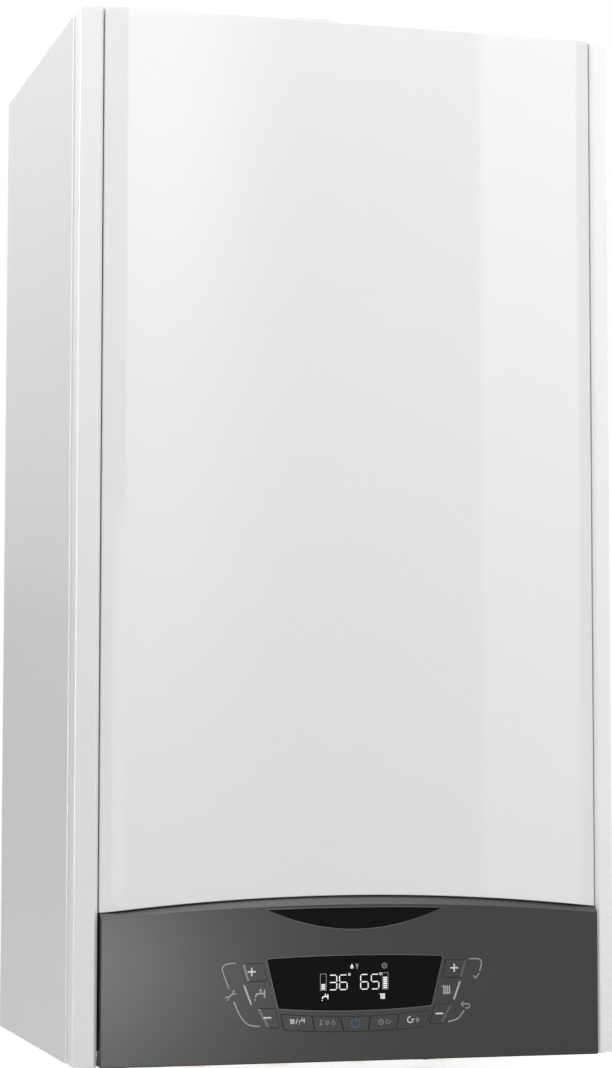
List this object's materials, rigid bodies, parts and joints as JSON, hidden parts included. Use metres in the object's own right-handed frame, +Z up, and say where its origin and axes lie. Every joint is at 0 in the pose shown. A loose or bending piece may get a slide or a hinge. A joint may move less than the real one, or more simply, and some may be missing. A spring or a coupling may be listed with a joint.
{
  "type": "combi boiler",
  "caption": "Wall-hung condensing combi boiler with a pull-off gloss white front, a swing-down dark control panel, display and keys, and its burner, fan, pump and water parts inside.",
  "frame": {"origin": "middle of the bolt line of the wall bracket, on the plane of the wall", "axes": "+X right, +Y into the wall, +Z up; the front faces -Y"},
  "size_m": [0.4, 0.3196, 0.796],
  "materials": {
    "white_enamel": "gloss powder coat",
    "white_trim": "smooth",
    "galvanised_steel": "satin zinc coat",
    "fascia_grey": "satin",
    "badge_black": "high gloss",
    "display_black": "gloss, dark tinted",
    "key_grey": "satin",
    "box_black": "moulded",
    "board_green": "solder mask",
    "cast_aluminium": "cast",
    "stainless_steel": "brushed",
    "bright_zinc": "zinc plated",
    "ceramic_white": "glazed",
    "motor_black": "moulded",
    "wheel_grey": "satin",
    "copper": "drawn copper tube",
    "plain_brass": "machined",
    "vessel_red": "satin paint",
    "block_black": "glass-filled moulding",
    "silencer_grey": "moulded",
    "knob_blue": "moulded",
    "knob_red": "moulded",
    "needle_black": "painted",
    "trap_white": "moulded",
    "gland_rubber": "moulded",
    "cap_white": "moulded"
  },
  "bodies": {
    "casing": {"wall_bracket": "galvanised_steel", "back_sheet": "galvanised_steel", "frame_rails": "galvanised_steel", "left_side_panel": "white_enamel", "right_side_panel": "white_enamel", "left_corner_trim": "white_trim", "right_corner_trim": "white_trim", "top_panel": "white_enamel", "bottom_plate": "galvanised_steel", "hinge_pins": "bright_zinc", "flue_adapter": "cap_white", "intake_caps": "cap_white", "hex_screws": "bright_zinc", "flue_pipe": "silencer_grey", "exchanger_body": "stainless_steel", "exchanger_coil": "stainless_steel", "burner_door": "cast_aluminium", "burner_tube": "stainless_steel", "electrodes": "ceramic_white", "fan_housing": "cast_aluminium", "fan_motor": "motor_black", "gas_valve": "cast_aluminium", "gas_pipe": "copper", "air_silencer": "silencer_grey", "expansion_vessel": "vessel_red", "return_block": "block_black", "flow_block": "block_black", "diverter_motor": "motor_black", "plate_exchanger": "stainless_steel", "pump_motor": "motor_black", "air_vent": "plain_brass", "safety_valve": "plain_brass", "pressure_gauge": "motor_black", "condensate_trap": "trap_white", "condensate_tubes": "trap_white", "heating_pipes": "copper", "pipe_stubs": "plain_brass", "cable_glands": "gland_rubber"},
    "front_cover": {"front_panel": "white_enamel"},
    "control_panel": {"control_fascia": "fascia_grey", "badge_inlay": "badge_black", "display_lens": "display_black", "control_box": "box_black", "control_board": "board_green"},
    "fan_wheel": {"fan_impeller": "wheel_grey"},
    "pump_wheel": {"pump_impeller": "wheel_grey"},
    "diverter_rod": {"diverter_stem": "stainless_steel"},
    "relief_knob": {"safety_valve_knob": "knob_red"},
    "turbine_wheel": {"flow_turbine": "trap_white"},
    "filling_knob": {"fill_valve_knob": "knob_blue"},
    "gauge_pointer": {"gauge_needle": "needle_black"},
    "key_left_plus_body": {"key_left_plus": "key_grey"},
    "key_left_minus_body": {"key_left_minus": "key_grey"},
    "key_right_plus_body": {"key_right_plus": "key_grey"},
    "key_right_minus_body": {"key_right_minus": "key_grey"},
    "key_mode_body": {"key_mode": "key_grey"},
    "key_comfort_body": {"key_comfort": "key_grey"},
    "key_power_body": {"key_power": "key_grey"},
    "key_auto_body": {"key_auto": "key_grey"},
    "key_reset_body": {"key_reset": "key_grey"}
  },
  "joints": [
    {"name": "front_panel_pull", "type": "slide", "parent": "casing", "child": "front_cover", "axis": [0, -1, 0], "range_m": [0, 0.08]},
    {"name": "control_panel_hinge", "type": "hinge", "parent": "casing", "child": "control_panel", "pos_m": [0, -0.304, -0.692], "axis": [1, 0, 0], "range_deg": [0, 90]},
    {"name": "fan_spin", "type": "hinge", "parent": "casing", "child": "fan_wheel", "pos_m": [0.13, -0.196, -0.155], "axis": [0, 1, 0], "continuous": true},
    {"name": "pump_spin", "type": "hinge", "parent": "casing", "child": "pump_wheel", "pos_m": [0.11, -0.134, -0.548], "axis": [0, 1, 0], "continuous": true},
    {"name": "diverter_travel", "type": "slide", "parent": "casing", "child": "diverter_rod", "axis": [0, 0, 1], "range_m": [0, 0.006]},
    {"name": "relief_knob_turn", "type": "hinge", "parent": "casing", "child": "relief_knob", "pos_m": [-0.18, -0.11, -0.62], "axis": [1, 0, 0], "range_deg": [0, 90]},
    {"name": "turbine_spin", "type": "hinge", "parent": "casing", "child": "turbine_wheel", "pos_m": [0.065, -0.11, -0.67], "axis": [0, 0, 1], "continuous": true},
    {"name": "filling_knob_turn", "type": "hinge", "parent": "casing", "child": "filling_knob", "pos_m": [0.0975, -0.165, -0.71], "axis": [0, 0, 1], "range_deg": [0, 90]},
    {"name": "gauge_pointer_turn", "type": "hinge", "parent": "casing", "child": "gauge_pointer", "pos_m": [-0.0975, -0.165, -0.699], "axis": [0, 0, 1], "range_deg": [0, 250]},
    {"name": "key_left_plus_press", "type": "slide", "parent": "control_panel", "child": "key_left_plus_body", "axis": [0, 1, 0], "range_m": [0, 0.0012], "stiffness_N_per_m": 800},
    {"name": "key_left_minus_press", "type": "slide", "parent": "control_panel", "child": "key_left_minus_body", "axis": [0, 1, 0], "range_m": [0, 0.0012], "stiffness_N_per_m": 800},
    {"name": "key_right_plus_press", "type": "slide", "parent": "control_panel", "child": "key_right_plus_body", "axis": [0, 1, 0], "range_m": [0, 0.0012], "stiffness_N_per_m": 800},
    {"name": "key_right_minus_press", "type": "slide", "parent": "control_panel", "child": "key_right_minus_body", "axis": [0, 1, 0], "range_m": [0, 0.0012], "stiffness_N_per_m": 800},
    {"name": "key_mode_press", "type": "slide", "parent": "control_panel", "child": "key_mode_body", "axis": [0, 1, 0], "range_m": [0, 0.0012], "stiffness_N_per_m": 800},
    {"name": "key_comfort_press", "type": "slide", "parent": "control_panel", "child": "key_comfort_body", "axis": [0, 1, 0], "range_m": [0, 0.0012], "stiffness_N_per_m": 800},
    {"name": "key_power_press", "type": "slide", "parent": "control_panel", "child": "key_power_body", "axis": [0, 1, 0], "range_m": [0, 0.0012], "stiffness_N_per_m": 800},
    {"name": "key_auto_press", "type": "slide", "parent": "control_panel", "child": "key_auto_body", "axis": [0, 1, 0], "range_m": [0, 0.0012], "stiffness_N_per_m": 800},
    {"name": "key_reset_press", "type": "slide", "parent": "control_panel", "child": "key_reset_body", "axis": [0, 1, 0], "range_m": [0, 0.0012], "stiffness_N_per_m": 800}
  ]
}
